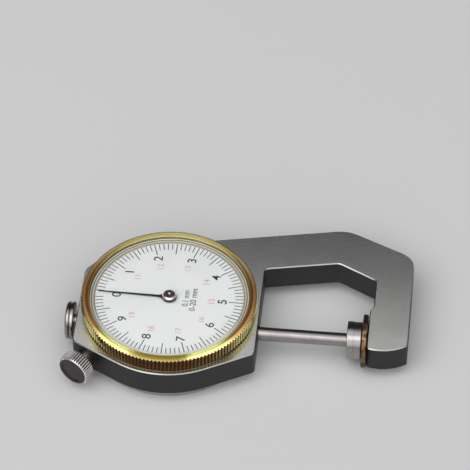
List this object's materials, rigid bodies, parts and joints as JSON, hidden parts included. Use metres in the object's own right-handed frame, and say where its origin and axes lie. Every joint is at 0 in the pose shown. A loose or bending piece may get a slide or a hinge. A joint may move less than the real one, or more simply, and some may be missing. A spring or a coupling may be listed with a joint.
{
  "type": "dial thickness gauge",
  "caption": "Pocket dial thickness gauge: flat C-shaped frame, knurled rotating bezel, sprung spindle with flat disc anvils, pull button and knurled lock screw.",
  "frame": {"origin": "centre of the back cover's outer face, on the dial's axis", "axes": "+Z out of the dial; +X along the spindle from the pull button to the fixed anvil; +Y towards the frame's back edge; the zero of the dial points to -X"},
  "size_m": [0.1151, 0.0701, 0.0203],
  "materials": {
    "frame": "satin grey, fine blasted surface",
    "cover": "satin grey",
    "steel": "polished steel",
    "anvil": "hardened steel, browned and rubbed bright at the rim",
    "brass": "turned brass",
    "spring": "blued spring steel",
    "sleeve": "turned steel",
    "pointer": "matt black",
    "boss": "dark polished",
    "bezel": "polished gold, knurled rim",
    "crystal": "clear",
    "ring": "pale champagne satin",
    "dial": "satin white with black and red figures"
  },
  "bodies": {
    "root": {"frame": "frame", "back_cover": "cover", "cover_screw_1": "steel", "cover_screw_2": "steel", "cover_screw_3": "steel", "cover_screw_4": "steel", "fixed_anvil": "anvil", "left_bush": "brass", "right_bush": "brass", "upper_bush": "brass", "lower_bush": "brass", "movement_plate": "brass", "pillar_1": "brass", "pillar_2": "brass", "pillar_3": "brass", "plate_screw_1": "steel", "plate_screw_2": "steel", "plate_screw_3": "steel", "hairspring": "spring", "hairspring_stud": "steel", "return_spring": "steel", "spring_post": "steel", "lock_sleeve": "sleeve", "wire_ring": "steel"},
    "spindle": {"spindle": "steel", "moving_anvil": "steel", "pull_button": "steel", "rack": "steel", "rack_screw": "brass", "spring_peg": "brass", "guide_pin": "steel"},
    "pointer": {"centre_arbor": "steel", "pointer": "pointer", "pointer_boss": "boss"},
    "take_up": {"take_up_gear": "brass", "hairspring_collet": "brass"},
    "bezel": {"bezel": "bezel", "crystal": "crystal", "dial_ring": "ring", "dial": "dial", "dial_clip": "steel"},
    "lock_pad": {"lock_pad": "brass"},
    "lock_screw": {"lock_screw": "steel"}
  },
  "joints": [
    {"name": "spindle_slide", "type": "slide", "parent": "root", "child": "spindle", "axis": [-1, 0, 0], "range_m": [0, 0.02], "stiffness_N_per_m": 100, "springref_m": -0.01},
    {"name": "pointer_turn", "type": "hinge", "parent": "root", "child": "pointer", "pos_m": [0, 0, 0.0182], "axis": [0, 0, -1], "range_deg": [0, 721]},
    {"name": "take_up_turn", "type": "hinge", "parent": "root", "child": "take_up", "pos_m": [0, 0.00796, 0.0118], "axis": [0, 0, 1], "range_deg": [0, 181]},
    {"name": "bezel_turn", "type": "hinge", "parent": "root", "child": "bezel", "pos_m": [0, 0, 0.0168], "axis": [0, 0, 1], "continuous": true},
    {"name": "lock_feed", "type": "slide", "parent": "root", "child": "lock_pad", "axis": [0.4653, 0.8852, 0], "range_m": [0, 0.00025]},
    {"name": "lock_turn", "type": "hinge", "parent": "lock_pad", "child": "lock_screw", "pos_m": [-0.02817, -0.02603, 0.00935], "axis": [0.4653, 0.8852, 0], "range_deg": [0, 181]}
  ],
  "couplings": [
    {"joint": "pointer_turn", "follows": "spindle_slide", "rad_per_m": 628.32},
    {"joint": "take_up_turn", "follows": "spindle_slide", "rad_per_m": 157.08},
    {"joint": "lock_turn", "follows": "lock_feed", "rad_per_m": 12566}
  ]
}
